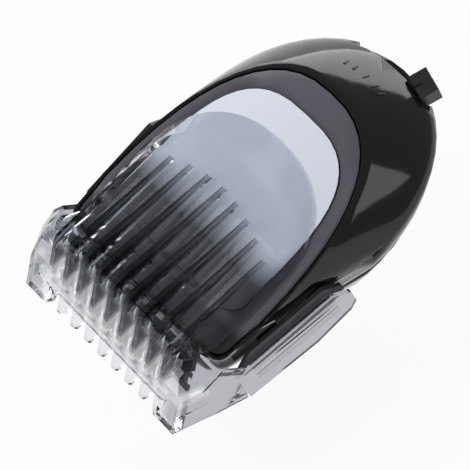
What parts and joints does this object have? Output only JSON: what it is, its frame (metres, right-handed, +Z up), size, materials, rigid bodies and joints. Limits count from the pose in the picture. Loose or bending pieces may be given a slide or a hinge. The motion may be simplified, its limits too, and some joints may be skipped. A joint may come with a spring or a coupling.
{
  "type": "beard trimmer head",
  "caption": "Click-on beard trimmer head: black rounded housing, grey face panel, clear length comb, rear length selector, toothed cutter and rocker drive.",
  "frame": {"origin": "middle of the length and width, in the plane that the coupling collar stands on; the collar axis is 0.33 mm in front of it", "axes": "+Z up along the drive spindle, +Y towards the length selector, +X to the right seen from the comb"},
  "size_m": [0.0492, 0.072, 0.0353],
  "materials": {
    "gloss_black": "polished black moulding",
    "panel_grey": "satin grey panel",
    "label_white": "pale bare sheet",
    "clear_comb": "lightly smoked clear moulding",
    "matte_black": "fine matte black",
    "grey_nylon": "natural grey nylon",
    "white_nylon": "natural white nylon",
    "steel": "ground steel",
    "rubber": "black rubber"
  },
  "bodies": {
    "housing": {"upper_housing": "gloss_black", "lower_housing": "gloss_black", "face_panel": "panel_grey", "label_sheet": "label_white", "chassis": "grey_nylon", "selector_retainer": "steel", "detent_spring": "steel", "housing_screw_1": "steel", "housing_screw_2": "steel", "housing_screw_3": "steel", "housing_screw_4": "steel", "blade_holder": "matte_black", "fixed_blade": "steel", "blade_spring": "steel", "left_blade_screw": "steel", "right_blade_screw": "steel", "rocker_pin": "steel", "spindle_bush": "grey_nylon", "seal_ring": "rubber"},
    "selector": {"selector_plate": "matte_black"},
    "button": {"selector_button": "matte_black"},
    "carriage": {"carriage_bridge": "grey_nylon", "left_rail": "matte_black", "right_rail": "matte_black"},
    "comb_body": {"comb": "clear_comb"},
    "spindle": {"drive_spindle": "white_nylon"},
    "rocker": {"rocker_arm": "grey_nylon"},
    "cutter": {"moving_blade": "steel", "blade_driver": "white_nylon"}
  },
  "joints": [
    {"name": "selector_swing", "type": "hinge", "parent": "housing", "child": "selector", "pos_m": [0, 0.01292, 0.02065], "axis": [0, -0.342, 0.9397], "range_deg": [0, 32.2]},
    {"name": "selector_press", "type": "slide", "parent": "selector", "child": "button", "axis": [-0.2773, -0.9028, -0.3286], "range_m": [0, 0.0003], "stiffness_N_per_m": 1000},
    {"name": "comb_adjust", "type": "slide", "parent": "housing", "child": "carriage", "axis": [0, -0.9397, -0.342], "range_m": [0, 0.004]},
    {"name": "comb_release", "type": "slide", "parent": "carriage", "child": "comb_body", "axis": [0, -0.9397, -0.342], "range_m": [0, 0.04]},
    {"name": "spindle_spin", "type": "hinge", "parent": "housing", "child": "spindle", "pos_m": [0, -0.00033, 0.006], "axis": [0, 0, 1], "continuous": true},
    {"name": "rocker_swing", "type": "hinge", "parent": "housing", "child": "rocker", "pos_m": [0, -0.01433, 0.0132], "axis": [0, 0, 1], "range_deg": [-3.5, 3.5]},
    {"name": "blade_stroke", "type": "slide", "parent": "housing", "child": "cutter", "axis": [1, 0, 0], "range_m": [-0.0007, 0.0007]}
  ],
  "couplings": [
    {"joint": "comb_adjust", "follows": "selector_swing", "m_per_rad": 0.0071},
    {"joint": "rocker_swing", "follows": "blade_stroke", "rad_per_m": 81.967}
  ]
}
